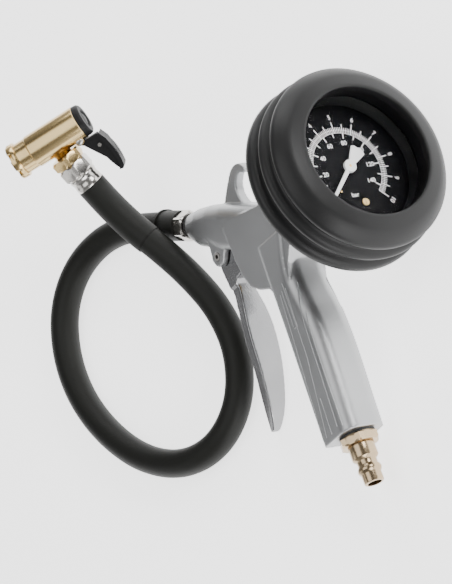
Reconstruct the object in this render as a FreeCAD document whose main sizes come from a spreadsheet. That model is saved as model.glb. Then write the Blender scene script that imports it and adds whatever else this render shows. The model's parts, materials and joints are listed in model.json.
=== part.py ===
"""Tyre inflator: pistol casting, 80 mm gauge in a rubber boot, lever valve, air hose and clip-on chuck.

The gun is drawn in its own frame: X runs forward from the dial along the gauge axis, Y to the left, Z up,
with the origin at the centre of the dial. One placement then lays it down on its right side, resting on the
boot's rear ring, the tip of the lever and the hose, which is how the finished part stands in its own frame.
"""
import FreeCAD, Part
import math
import os
import Sketcher

Vec = FreeCAD.Vector

# Driving dimensions in millimetres (angles in degrees).
DIMS = {
    # how the gun lies: turned on its right side, nose down, dial centre above the surface
    "lay_roll": 83.011, "lay_nose_down": 17.347, "lay_height": 50.200, "lay_x": -62.538,
    "lay_y": -43.274,
    # gauge: stations along its axis, dial face at 0, rear positive
    "boot_front": -21.2, "boot_lip_in": -10.0, "boot_back": 17.5, "boot_mouth_rad": 33.4,
    "boot_rear_hole": 16.0, "ring_rad": 49.0, "ring_mid_rad": 48.5, "flange_edge_rad": 47.6,
    "groove_rad": 44.2, "case_rad": 40.0, "case_wall": 1.0, "case_rim": -6.0, "case_back": 15.0,
    "case_floor": 14.0, "bezel_front": -10.0, "bezel_shoulder": -8.2, "bezel_mouth_rad": 36.0,
    "glass_rad": 38.9, "gasket_front": -6.2, "gasket_back": -5.2, "spacer_in_rad": 36.8,
    "dial_view_rad": 33.4, "dial_thick": 0.6, "socket_hole": 7.0, "socket_thread": 6.5,
    "socket_end": 30.0, "socket_flange": 9.0, "socket_flange_in": 11.5, "gauge_port": 1.5,
    "plate_front": 2.2, "plate_front_back": 3.2, "plate_rear": 8.2, "plate_rear_back": 9.2,
    "plate_half": 9.0, "plate_low": 20.0, "pillar_rad": 1.2, "arbor_rad": 0.8, "arbor_tip": -3.2,
    "arbor_end": 9.0, "arbor_hole": 0.86, "pinion_rad": 2.2, "sector_drop": 12.2, "sector_reach": 9.9,
    "sector_thick": 1.2, "sector_station": 5.0, "pinion_front": 4.2, "pinion_back": 6.9,
    "tube_in_rad": 26.5, "tube_out_rad": 29.5, "tube_front": 3.5, "tube_back": 12.5, "tube_wall": 0.5,
    "tube_sweep": 245.0, "pointer_length": 24.0, "pointer_tail": 11.5, "pointer_front": -2.9,
    "pointer_back": -2.3, "hub_rad": 3.2, "screw_rad": 1.8, "screw_reach": 18.7, "screw_angle": 170.5,
    "zero_angle": 225.0,
    # casting: barrel
    "nose_x": 133.0, "nose_z": 32.0, "barrel_slope": 25.0, "hose_thread": 4.9, "hose_thread_deep": 12.0,
    "barrel_bore": 2.5, "barrel_bore_end": 66.5,
    # casting: body and handle
    "body_half": 11.0, "handle_half": 12.0, "handle_x": 67.0, "handle_foot": -110.4, "neck_rad": 13.4,
    "neck_front": 18.0, "neck_end": 50.0, "inlet_thread": 6.5, "inlet_thread_deep": 13.0,
    "handle_bore": 4.0, "lug_in": 6.0, "lug_out": 9.5, "pivot_x": 111.5, "pivot_z": 6.4,
    "pin_hole": 2.0, "slot_roof": 13.4,
    # lever valve, on an axis along X
    "valve_z": -3.0, "valve_bore": 5.5, "valve_deep": 56.0, "valve_mouth": 97.0, "seat_in": 2.6,
    "seat_rear": 72.0, "seat_front": 75.0, "stem_rad": 1.2, "push_rad": 1.95, "guide_bore": 2.0,
    "guide_rear": 86.0, "push_tip": 99.5, "poppet_rad": 4.2, "poppet_back": 69.0, "disc_back": 70.5,
    "valve_wire": 0.35, "valve_coil": 3.4, "valve_turns": 6.0,
    # lever
    "head_half": 5.7, "lever_bore": 2.05, "pin_rad": 2.0, "pin_bore": 1.1, "pin_half": 9.7,
    # inlet plug, stations down from the handle's foot
    "plug_flats": 18.5, "washer_thick": 1.0, "washer_rad": 9.0, "plug_hex_end": 5.6,
    "plug_body_rad": 6.6, "plug_body_end": 12.6, "plug_neck_rad": 5.0, "plug_neck_start": 13.8,
    "plug_neck_end": 16.2, "plug_bead_rad": 6.0, "plug_bead_start": 17.6, "plug_bead_end": 19.4,
    "plug_tip_rad": 5.0, "plug_tip_start": 20.6, "plug_end": 25.6, "plug_bore": 3.6,
    "strainer_rad": 4.0, "strainer_deep": 22.0,
    # hose end at the gun, stations from the nose along the barrel axis
    "seal_rad": 5.8, "seal_thick": 1.8, "nut_flats": 13.6, "nut_start": 2.4, "nut_end": 9.6,
    "collar_rad": 5.4, "barb_rad": 3.9, "barb_bore": 2.4, "barb_length": 18.0, "hose_rad": 7.0,
    "hose_in_rad": 4.0, "sleeve_rad": 7.5, "sleeve_length": 15.4, "bead_rad": 8.1, "bead_length": 1.6,
    "first_bend": 32.8, "kink_in_rad": 7.02, "kink_rad": 7.4, "last_run": 14.0,
    # chuck: where its two axes cross and how it stands; then its barrel, stations from that crossing
    "chuck_x": 101.3, "chuck_y": -130.6, "chuck_z": 62.2, "chuck_yaw": -166.494, "chuck_pitch": 20.598,
    "chuck_roll": -51.919, "chuck_rad": 8.4, "chuck_neck_rad": 7.9, "chuck_bore": 6.5,
    "chuck_slide_rad": 6.4, "mouth_rad": 9.1, "mouth_bore": 4.1, "mouth_front": -21.0,
    "mouth_back": -17.2, "neck_back": -10.5, "jaw_front": -13.0, "jaw_back": -8.2,
    "chuck_seal_back": -5.0, "chuck_end": 17.1, "cap_end": 20.4, "plunger_shoulder": 2.0,
    "flange_front": 9.8, "flange_back": 10.8, "plunger_neck": 2.4, "flange_rad": 5.2, "cap_in": 15.7,
    "chuck_wire": 0.35, "chuck_coil": 4.6, "chuck_turns": 3.0,
    # thumb lever
    "thumb_pivot_x": 12.3, "thumb_pivot_z": -7.6, "thumb_pin_rad": 1.0, "thumb_head_rad": 1.9,
    "thumb_bore": 1.06, "web_half": 2.2, "ear_in": 2.6, "ear_out": 4.4, "ear_rad": 2.2,
    "thumb_half": 4.8, "rivet_rad": 1.0,
    # chuck stem, stations down from the crossing along its own leaning axis
    "stem_lean": 8.284, "stem_thread": 4.5, "stem_bore": 2.0, "stem_hex_start": 9.8,
    "stem_hex_end": 15.0, "stem_flats": 15.4, "swivel_start": 15.2, "swivel_end": 22.0,
    "swivel_flats": 15.2, "ferrule_end": 29.4,
}


def size(words):
    """The value of a sum of names and numbers, such as "nut_end - seal_thick"."""
    total = 0.0
    sign = 1.0
    for word in str(words).split():
        if word in ("+", "-"):
            sign = 1.0 if word == "+" else -1.0
        else:
            total += sign * (DIMS[word] if word in DIMS else float(word))
            sign = 1.0
    return total


def bound(words):
    """The same sum as an expression on the spreadsheet."""
    return " ".join("dims." + word if word in DIMS else word for word in str(words).split())


doc = FreeCAD.newDocument("tyre_inflator")
sheet = doc.addObject("Spreadsheet::Sheet", "dims")
for line, (alias, value) in enumerate(DIMS.items(), start=1):
    sheet.set(f"A{line}", alias)
    sheet.set(f"B{line}", str(value))
    sheet.setAlias(f"B{line}", alias)
doc.recompute()

NODES = {}
LAY = FreeCAD.Placement(
    Vec(size("lay_x"), size("lay_y"), size("lay_height")),
    FreeCAD.Rotation(Vec(0, 1, 0), size("lay_nose_down")) * FreeCAD.Rotation(Vec(1, 0, 0), size("lay_roll")),
)


# ---------------------------------------------------------------- frames that pieces are drawn in
def along(origin, direction):
    """Frame whose Z runs along a direction of the gun frame."""
    return LAY * FreeCAD.Placement(origin, FreeCAD.Rotation(Vec(0, 0, 1), direction))


GUN = LAY
GAUGE = along(Vec(0, 0, 0), Vec(1, 0, 0))
VALVE = along(Vec(0, 0, size("valve_z")), Vec(1, 0, 0))
SLOPE = math.radians(size("barrel_slope"))
NOSE = Vec(size("nose_x"), 0, size("nose_z"))
BARREL_WAY = Vec(math.cos(SLOPE), 0, math.sin(SLOPE))
BARREL = along(NOSE, BARREL_WAY)
PLUG = LAY * FreeCAD.Placement(
    Vec(size("handle_x"), 0, size("handle_foot")), FreeCAD.Rotation(Vec(1, 0, 0), 180))
PIVOT = LAY * FreeCAD.Placement(
    Vec(size("pivot_x"), 0, size("pivot_z")), FreeCAD.Rotation(Vec(1, 0, 0), 90))


# ---------------------------------------------------------------- ways of making a piece
def keep(name, piece, frame):
    """Files a finished piece under its node name, in its place."""
    piece.Label = name
    piece.Placement = frame
    NODES[name] = piece
    return piece


def fresh_sketch(body, name, role):
    sketch = body.newObject("Sketcher::SketchObject", name)
    plane = [feature for feature in body.Origin.OriginFeatures if feature.Role == role][0]
    sketch.AttachmentSupport = [(plane, "")]
    sketch.MapMode = "FlatFace"
    return sketch


def draw_outline(sketch, points):
    """Closed straight-sided outline; each corner is (across, up), both sums bound to the spreadsheet."""
    corners = [Vec(size(across), size(up), 0) for across, up in points]
    for index, corner in enumerate(corners):
        sketch.addGeometry(Part.LineSegment(corner, corners[(index + 1) % len(corners)]), False)
    for index in range(len(corners)):
        sketch.addConstraint(
            Sketcher.Constraint("Coincident", index, 2, (index + 1) % len(corners), 1))
    for index, (across, up) in enumerate(points):
        for kind, words, axis in (("DistanceX", across, -2), ("DistanceY", up, -1)):
            if abs(size(words)) < 1e-9:
                sketch.addConstraint(Sketcher.Constraint("PointOnObject", index, 1, axis))
                continue
            number = sketch.addConstraint(Sketcher.Constraint(kind, -1, 1, index, 1, size(words)))
            sketch.setExpression(f"Constraints[{number}]", bound(words))


def turned_body(name, outline):
    """Body turned about its Z axis; outline is a list of (station, radius)."""
    body = doc.addObject("PartDesign::Body", name)
    sketch = fresh_sketch(body, name + "_outline", "XZ_Plane")
    draw_outline(sketch, [(radius, station) for station, radius in outline])
    turn = body.newObject("PartDesign::Revolution", name + "_turn")
    turn.Profile = sketch
    turn.ReferenceAxis = (sketch, ["V_Axis"])
    turn.Angle = 360.0
    return body


def turned(name, outline, frame):
    return keep(name, turned_body(name, outline), frame)


def padded_body(name, outline, thickness, midplane=True):
    """Straight-sided outline on the XY plane, padded along Z."""
    body = doc.addObject("PartDesign::Body", name)
    sketch = fresh_sketch(body, name + "_outline", "XY_Plane")
    draw_outline(sketch, outline)
    pad = body.newObject("PartDesign::Pad", name + "_pad")
    pad.Profile = sketch
    pad.setExpression("Length", bound(thickness))
    pad.Midplane = midplane
    return body


def cylinder(name, radius, low, high):
    rod = doc.addObject("Part::Cylinder", name)
    rod.setExpression("Radius", bound(radius))
    rod.setExpression("Height", f"({bound(high)}) - ({bound(low)})")
    rod.setExpression("Placement.Base.z", bound(low))
    return rod


def fused(name, *pieces):
    result = doc.addObject("Part::MultiFuse", name)
    result.Shapes = list(pieces)
    return result


def cut(name, base, tool):
    result = doc.addObject("Part::Cut", name)
    result.Base = base
    result.Tool = tool
    return result


def hexagon(name, flats, low, high, bore):
    """Hexagonal nut body with chamfered corners and a plain bore, about Z."""
    prism = doc.addObject("Part::Prism", name + "_hex")
    prism.Polygon = 6
    prism.setExpression("Circumradius", f"{bound(flats)} / sqrt(3)")
    prism.setExpression("Height", f"({bound(high)}) - ({bound(low)})")
    prism.setExpression("Placement.Base.z", bound(low))
    corner = size(flats) / math.sqrt(3.0)
    chamfer = 0.5 * (corner - 0.5 * size(flats))
    limit = turned_body(name + "_limit", [
        (low, "0"), (low, f"{0.5 * size(flats):.4f}"), (f"{low} + {chamfer:.4f}", f"{corner:.4f}"),
        (f"{high} - {chamfer:.4f}", f"{corner:.4f}"), (high, f"{0.5 * size(flats):.4f}"), (high, "0")])
    common = doc.addObject("Part::Common", name + "_common")
    common.Base = prism
    common.Tool = limit
    return cut(name + "_bored", common, cylinder(name + "_bore", bore, low, high))


def shaped(name, shape, frame):
    """A piece whose shape is worked out directly from the sheet's sizes."""
    piece = doc.addObject("Part::Feature", name)
    piece.Shape = shape
    return keep(name, piece, frame * shape.Placement)


def ring_wire(centre, way, radius):
    return Part.Wire([Part.Circle(centre, way, size(radius)).toShape()])


def coil(name, wire, radius, low, high, turns, frame):
    """A spring of flat-sided wire: rings of six points up a helix, skinned with triangles."""
    sides = 6
    rings = round(18 * size(turns))
    thick = size(wire)
    bottom = size(low) + thick
    rise = (size(high) - thick - bottom) / rings
    points = []
    for step in range(rings + 1):
        turn = 2 * math.pi * step / 18
        row = []
        for side in range(sides):
            around = 2 * math.pi * side / sides
            reach = size(radius) + thick * math.cos(around)
            height = bottom + rise * step + thick * math.sin(around)
            row.append(Vec(reach * math.cos(turn), reach * math.sin(turn), height))
        points.append(row)
    corners = [points[0][::-1], points[-1]]
    for this, other in zip(points, points[1:]):
        for side in range(sides):
            after = (side + 1) % sides
            corners.append([this[side], this[after], other[after]])
            corners.append([this[side], other[after], other[side]])
    faces = [Part.Face(Part.makePolygon(loop + loop[:1])) for loop in corners]
    shaped(name, Part.makeSolid(Part.makeShell(faces)), frame)


def ring(name, front, back, inner, outer, frame=GAUGE):
    return turned(name, [(front, inner), (front, outer), (back, outer), (back, inner)], frame)


def face_of(points):
    return Part.Face(Part.makePolygon([Vec(*p) for p in points] + [Vec(*points[0])]))


def on_dial(angle, reach, station):
    """Point of the gauge frame at a clock angle on the dial, seen from the front."""
    turn = math.radians(angle)
    return Vec(-reach * math.cos(turn), -reach * math.sin(turn), station)


def make_gauge():
    turned("gauge_case", [
        ("case_rim", "case_rad - case_wall"), ("case_rim", "case_rad"), ("case_back", "case_rad"),
        ("case_back", "socket_hole"), ("case_floor", "socket_hole"), ("case_floor", "case_rad - case_wall"),
    ], GAUGE)
    turned("gauge_bezel", [
        ("bezel_front", "bezel_mouth_rad"), ("bezel_front", "case_rad - 0.6"),
        ("bezel_front + 0.6", "case_rad"), ("case_rim", "case_rad"), ("case_rim", "glass_rad + 0.1"),
        ("bezel_shoulder", "glass_rad + 0.1"), ("bezel_shoulder", "bezel_mouth_rad"),
    ], GAUGE)
    turned("gauge_glass", [
        ("bezel_shoulder", "0"), ("bezel_shoulder", "glass_rad"), ("gasket_front", "glass_rad"),
        ("gasket_front", "0")], GAUGE)
    ring("glass_gasket", "gasket_front", "gasket_back", "spacer_in_rad", "glass_rad")
    turned("dial_spacer", [
        ("gasket_back", "spacer_in_rad - 0.8"), ("gasket_back", "glass_rad"), ("0", "glass_rad"),
        ("0", "dial_view_rad"), ("-1", "dial_view_rad")], GAUGE)
    ring("dial_plate", "0", "dial_thick", "1.6", "glass_rad")
    turned("gauge_socket", [
        ("socket_flange_in", "0"), ("socket_flange_in", "socket_flange"), ("case_floor", "socket_flange"),
        ("case_floor", "socket_hole"), ("case_back + 1.5", "socket_hole"),
        ("case_back + 1.5", "socket_thread"),
        ("socket_end", "socket_thread"), ("socket_end", "gauge_port"), ("case_floor - 1", "gauge_port"),
        ("case_floor - 1", "0")], GAUGE)
    ring("socket_seal", "case_back + 1.5", "neck_front", "socket_thread", "9.5")
    turned("rubber_boot", [
        ("boot_back", "boot_rear_hole"), ("boot_back", "36"), ("14.6", "45.5"), ("12.8", "ring_rad - 0.8"),
        ("11.5", "ring_rad"), ("8.5", "ring_rad"), ("7.2", "ring_rad - 0.8"), ("5.2", "groove_rad"),
        ("3", "groove_rad"), ("1.5", "ring_mid_rad - 0.8"), ("0.2", "ring_mid_rad"),
        ("-2.2", "ring_mid_rad"),
        ("-3.5", "ring_mid_rad - 0.8"), ("-5.2", "groove_rad"), ("-7.2", "groove_rad"),
        ("-8.9", "flange_edge_rad - 0.7"), ("-10", "flange_edge_rad"), ("-11.5", "flange_edge_rad"),
        ("-13.5", "46.6"), ("-16", "44.8"), ("-18.5", "42.2"), ("-19.7", "39"), ("-20.8", "36"),
        ("boot_front", "boot_mouth_rad + 1"), ("boot_front + 0.4", "boot_mouth_rad + 0.2"),
        ("boot_front + 1.4", "boot_mouth_rad"), ("boot_lip_in", "boot_mouth_rad"),
        ("boot_lip_in", "case_rad"),
        ("case_back", "case_rad"), ("case_back", "boot_rear_hole")], GAUGE)
    make_bourdon_tube()
    make_movement()
    make_pointer()


def tube_section(inset):
    low = size("tube_front") + inset
    high = size("tube_back") - inset
    near = size("tube_in_rad") + inset
    far = size("tube_out_rad") - inset
    return face_of([(near, 0, low), (far, 0, low), (far, 0, high), (near, 0, high)])


def make_bourdon_tube():
    """Flattened C-shaped tube: rooted in a block, closed by a tip piece with a link to the gear."""
    sweep = size("tube_sweep")
    outer = tube_section(0.0).revolve(Vec(0, 0, 0), Vec(0, 0, 1), sweep)
    inner = tube_section(size("tube_wall")).revolve(Vec(0, 0, 0), Vec(0, 0, 1), sweep - 3.0)
    shaped("bourdon_tube", outer.cut(inner), GAUGE)

    near = size("tube_in_rad")
    low = size("tube_front")
    arm = Part.makeBox(near - 4.0, 7.0, 2.0, Vec(5.0, -3.5, size("socket_flange_in") - 2.0))
    root = Part.makeBox(size("tube_out_rad") + 2.5 - near, 6.0, size("tube_back") - low + 1.0,
                        Vec(near - 1.0, -6.0, low - 0.5))
    shaped("tube_block", arm.fuse(root).removeSplitter(), GAUGE)

    tip = Part.makeBox(4.0, 4.0, size("tube_back") - low, Vec(near - 0.5, 0.0, low))
    tip.rotate(Vec(0, 0, 0), Vec(0, 0, 1), sweep)
    shaped("tube_tip", tip, GAUGE)

    way = math.radians(sweep + 3.0)
    start = Vec((near - 1.4) * math.cos(way), (near - 1.4) * math.sin(way), 6.6)
    end = Vec(size("sector_drop") + 1.8, -6.8, 6.6)
    bar = Part.makeBox((end - start).Length, 1.6, 0.8, Vec(0, -0.8, 0))
    bar.rotate(Vec(0, 0, 0), Vec(0, 0, 1), math.degrees(math.atan2(end.y - start.y, end.x - start.x)))
    bar.translate(start)
    shaped("link_bar", bar, GAUGE)


def make_movement():
    half = size("plate_half")
    centres = (Vec(0, 0, 0), Vec(size("sector_drop"), 0, 0))
    for name, low, high in (("movement_front_plate", "plate_front", "plate_front_back"),
                            ("movement_rear_plate", "plate_rear", "plate_rear_back")):
        plate = Part.makeBox(half + size("plate_low"), 2 * half, size(high) - size(low),
                             Vec(-half, -half, size(low)))
        for centre in centres:
            plate = plate.cut(Part.makeCylinder(size("arbor_hole"), 20, centre - Vec(0, 0, 5)))
        shaped(name, plate, GAUGE)
    gap = size("plate_rear") - size("plate_front_back")
    posts = [Part.makeCylinder(size("pillar_rad"), gap, Vec(across, up, size("plate_front_back")))
             for across, up in ((-6.5, 6.5), (-6.5, -6.5), (17.0, 6.5))]
    shaped("movement_pillars", Part.makeCompound(posts), GAUGE)

    station = size("sector_station")
    sector = Part.makeCylinder(size("sector_reach"), size("sector_thick"), centres[1] + Vec(0, 0, station),
                               Vec(0, 0, 1), 72)
    sector.rotate(centres[1], Vec(0, 0, 1), 174)
    tail = Part.makeBox(8.0, 2.4, size("sector_thick"), centres[1] + Vec(0, -1.2, station))
    tail.rotate(centres[1], Vec(0, 0, 1), -75)
    hub = Part.makeCylinder(1.7, 2.7, centres[1] + Vec(0, 0, 4.2))
    arbor = Part.makeCylinder(size("arbor_rad"), size("plate_rear_back") - size("plate_front"),
                              centres[1] + Vec(0, 0, size("plate_front")))
    shaped("sector_gear", sector.fuse([tail, hub, arbor]).removeSplitter(), GAUGE)
    turned("pinion_arbor", [
        ("arbor_tip", "0"), ("arbor_tip", "arbor_rad"), ("pinion_front", "arbor_rad"),
        ("pinion_front", "pinion_rad"), ("pinion_back", "pinion_rad"), ("pinion_back", "arbor_rad"),
        ("arbor_end", "arbor_rad"), ("arbor_end", "0")], GAUGE)

    sides = []
    for offset in (0.0, 0.25):
        sides.append([
            ((1.2 + offset + 0.1 * step) * math.cos(step * math.pi / 8.0),
             (1.2 + offset + 0.1 * step) * math.sin(step * math.pi / 8.0), 7.2) for step in range(49)])
    shaped("hairspring", face_of(sides[0] + sides[1][::-1]).extrude(Vec(0, 0, 0.6)), GAUGE)


def make_pointer():
    needle = GAUGE * FreeCAD.Placement(
        Vec(0, 0, 0.5 * (size("pointer_front") + size("pointer_back"))),
        FreeCAD.Rotation(Vec(0, 0, 1), size("zero_angle") + 180.0))
    blade = padded_body("pointer_blade", [
        ("pointer_length", "-0.7"), ("pointer_length", "0.7"), ("2", "1.05"), ("-2.5", "1.2"),
        ("-4", "2.2"), ("1 - pointer_tail", "3.9"), ("0 - pointer_tail", "2.6"),
        ("0 - pointer_tail", "-2.6"),
        ("1 - pointer_tail", "-3.9"), ("-4", "-2.2"), ("-2.5", "-1.2"), ("2", "-1.05")],
        "pointer_back - pointer_front")
    boss = cylinder("pointer_boss", "hub_rad", "-0.7", "0.8")
    keep("pointer", cut("pointer_bored", fused("pointer_whole", blade, boss),
                        cylinder("pointer_bore", "arbor_rad", "-2", "2")), needle)
    spot = on_dial(size("screw_angle"), size("screw_reach"), 0.0)
    head = Part.makeCylinder(size("screw_rad"), 0.8, spot - Vec(0, 0, 0.8))
    slot = Part.makeBox(4.0, 0.5, 0.4, spot - Vec(2.0, 0.25, 0.8))
    shank = Part.makeCylinder(0.9, size("plate_front_back"), spot)
    shaped("dial_screw", head.cut(slot).fuse(shank).removeSplitter(), GAUGE)
    stop = on_dial(size("zero_angle") - 6.0, 16.0, size("pointer_front"))
    shaped("pointer_stop", Part.makeCylinder(0.5, -size("pointer_front"), stop), GAUGE)


# ---------------------------------------------------------------- casting
def rounded_section(half, top, bottom, top_round, bottom_round):
    """Closed wire in the XY plane, symmetric about X = 0: flat top, flat bottom, four round corners."""
    corners = ((half, top, top_round, 0), (-half, top, top_round, 90), (-half, bottom, bottom_round, 180),
               (half, bottom, bottom_round, 270))
    edges = []
    last = None
    for across, up, radius, start in corners:
        centre = Vec(across - math.copysign(radius, across), up - math.copysign(radius, up), 0)
        circle = Part.Circle(centre, Vec(0, 0, 1), radius)
        arc = Part.Arc(circle, math.radians(start), math.radians(start + 90))
        first = arc.value(arc.FirstParameter)
        if last is not None:
            edges.append(Part.LineSegment(last, first).toShape())
        edges.append(arc.toShape())
        last = arc.value(arc.LastParameter)
    edges.append(Part.LineSegment(last, edges[0].firstVertex().Point).toShape())
    return Part.Wire(edges)


def lofted(sections, smooth):
    return Part.makeLoft(sections, True, not smooth)


def barrel_solid():
    """Hose barrel: from the round nose back to the flat-sided body, drawn about the barrel axis."""
    stations = (  # distance back from the nose, half width, top, bottom, top round, bottom round
        (0.0, 6.2, 6.2, -6.2, 5.9, 5.9), (5.0, 7.2, 7.6, -8.6, 6.4, 6.6), (10.0, 8.3, 8.8, -10.0, 6.6, 7.0),
        (22.0, 9.6, 10.5, -10.5, 6.6, 6.8), (34.0, 10.6, 11.0, -11.0, 6.6, 4.0),
        (50.0, 11.0, 11.0, -11.0, 6.6, 3.0), (76.0, 11.0, 11.0, -11.0, 6.6, 3.0))
    wires = []
    for back, half, top, bottom, top_round, bottom_round in stations:
        wire = rounded_section(half, top, bottom, top_round, bottom_round)
        wire.translate(Vec(0, 0, -back))
        wires.append(wire)
    solid = lofted(wires, False)
    # section X becomes the gun's Y, section Y becomes "up" across the barrel
    solid.rotate(Vec(0, 0, 0), Vec(0, 0, 1), 90)
    solid.rotate(Vec(0, 0, 0), Vec(0, 1, 0), 90 - size("barrel_slope"))
    solid.translate(NOSE)
    return solid


def handle_solid():
    """Pistol grip: flat sides, round back, nearly square front."""
    stations = (  # height, front, back, front round, back round
        ("handle_foot", 80.5, 55.6, 3.0, 7.5), ("-88", 79.4, 54.2, 3.0, 7.5), ("-66", 78.4, 53.0, 3.0, 7.5),
        ("-46", 77.6, 54.6, 3.0, 7.5), ("-28", 77.0, 56.8, 3.0, 7.5), ("-17", 76.5, 54.0, 3.0, 7.0),
        ("-6", 76.0, 50.0, 3.0, 6.0))
    wires = []
    for height, front, back, front_round, back_round in stations:
        middle = 0.5 * (front + back)
        wire = rounded_section(size("handle_half"), front - middle, back - middle, front_round, back_round)
        wire.rotate(Vec(0, 0, 0), Vec(0, 0, 1), -90)
        wire.translate(Vec(middle, 0, size(height)))
        wires.append(wire)
    return lofted(wires, True)


def slab(points, half_low, half_high):
    """Outline in the gun's XZ plane, between two distances from the middle plane."""
    face = face_of([(x, half_low, z) for x, z in points])
    return face.extrude(Vec(0, half_high - half_low, 0))


def curved_slab(sides, half):
    """Outline of smooth curves through points in the XZ plane, as thick on both sides of the middle."""
    edges = []
    for points in sides:
        corners = [Vec(x, -half, z) for x, z in points]
        if len(corners) == 2:
            edges.append(Part.LineSegment(*corners).toShape())
            continue
        curve = Part.BSplineCurve()
        curve.interpolate(corners)
        edges.append(curve.toShape())
    return Part.Face(Part.Wire(edges)).extrude(Vec(0, 2 * half, 0))


def rod(start, end, radius):
    way = end - start
    return Part.makeCylinder(radius, way.Length, start, way)


def on_barrel(station):
    return NOSE + BARREL_WAY * station


def make_casting():
    half = size("body_half")
    body = slab([(38, 12.5), (66, 12.5), (92, 17), (97, 15.5), (97, -2), (95.2, -12), (92, -19), (86, -23.2),
                 (78.5, -26.2), (76, -30), (60, -30), (56.5, -22), (50, -15), (38, -12.5)], -half, half)
    neck = rod(Vec(size("neck_front"), 0, 0), Vec(size("neck_end"), 0, 0), size("neck_rad"))
    hook = curved_slab((
        ((103, 26), (98, 31.6), (92, 36.6), (86, 40.6), (80.5, 41), (76.6, 38.6), (75.4, 35.4)),
        ((75.4, 35.4), (78.2, 34.8)),
        ((78.2, 34.8), (80.6, 36.7), (84.2, 35.4), (87.2, 31.4), (87.4, 26.6), (83.0, 20.0)),
        ((83.0, 20.0), (103, 26))), 2.6)
    lug = [(96, 13), (104, 18.5), (114.6, 20), (115.3, 12.0), (116.2, 6.4), (115.2, 3.2), (112.8, 1.4),
           (109.8, 1.5), (107.6, 3.2), (104, 7.4), (101, 10.4), (98.4, 13.4)]
    lugs = [slab(lug, size("lug_in"), size("lug_out")), slab(lug, -size("lug_out"), -size("lug_in"))]
    solid = body
    for piece in [neck, barrel_solid(), handle_solid(), hook] + lugs:
        solid = solid.fuse(piece)

    pivot = Vec(size("pivot_x"), 0, size("pivot_z"))
    side = Vec(0, 20, 0)
    valve_line = Vec(0, 0, size("valve_z"))
    along_x = Vec(1, 0, 0)
    foot = Vec(size("handle_x"), 0, size("handle_foot"))
    up = Vec(0, 0, 1)
    roof = slab([(97.2, -12), (119.5, -12), (119.5, size("slot_roof")), (97.2, size("slot_roof"))],
                -size("lug_in"), size("lug_in"))
    holes = [
        roof,
        rod(pivot - side, pivot + side, size("pin_hole")),
        rod(valve_line + along_x * size("valve_deep"), valve_line + along_x * 110, size("valve_bore")),
        rod(foot - up, foot + up * size("inlet_thread_deep"), size("inlet_thread")),
        rod(foot, foot + up * (size("valve_z") - size("handle_foot")), size("handle_bore")),
        rod(Vec(0, 0, 0), Vec(size("socket_end") + 1, 0, 0), size("socket_thread")),
        rod(Vec(size("socket_end"), 0, 2.5), on_barrel(0.5 - size("barrel_bore_end")), 1.6),
        rod(on_barrel(1), on_barrel(-size("hose_thread_deep")), size("hose_thread")),
        rod(on_barrel(1), on_barrel(-size("barrel_bore_end")), size("barrel_bore")),
    ]
    for hole in holes:
        solid = solid.cut(hole)
    shaped("body_casting", solid.removeSplitter(), GUN)


# ---------------------------------------------------------------- valve and lever
def make_valve():
    ring("valve_seat", "seat_rear", "seat_front", "seat_in", "valve_bore", VALVE)
    turned("valve_stem", [
        ("poppet_back", "0"), ("poppet_back", "poppet_rad"), ("disc_back", "poppet_rad"),
        ("disc_back", "stem_rad"), ("guide_rear - 1", "stem_rad"), ("guide_rear - 1", "push_rad"),
        ("push_tip - 0.6", "push_rad"), ("push_tip", "push_rad - 0.6"), ("push_tip", "0")], VALVE)
    ring("valve_disc", "disc_back", "seat_rear", "stem_rad", "poppet_rad", VALVE)
    turned("valve_guide", [
        ("guide_rear", "guide_bore"), ("guide_rear", "valve_bore - 0.6"),
        ("guide_rear + 1.6", "valve_bore - 0.6"),
        ("guide_rear + 1.6", "3.8"), ("guide_rear + 3.4", "3.8"), ("guide_rear + 3.4", "valve_bore"),
        ("valve_mouth", "valve_bore"), ("valve_mouth", "guide_bore"), ("guide_rear + 9", "guide_bore"),
        ("guide_rear + 9", "3.2"), ("guide_rear + 7.2", "3.2"), ("guide_rear + 7.2", "guide_bore")], VALVE)
    ring("guide_oring", "guide_rear + 1.7", "guide_rear + 3.3", "3.8", "valve_bore", VALVE)
    ring("stem_oring", "guide_rear + 7.3", "guide_rear + 8.9", "guide_bore", "3.2", VALVE)
    coil("valve_spring", "valve_wire", "valve_coil", "valve_deep", "poppet_back", "valve_turns", VALVE)


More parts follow.
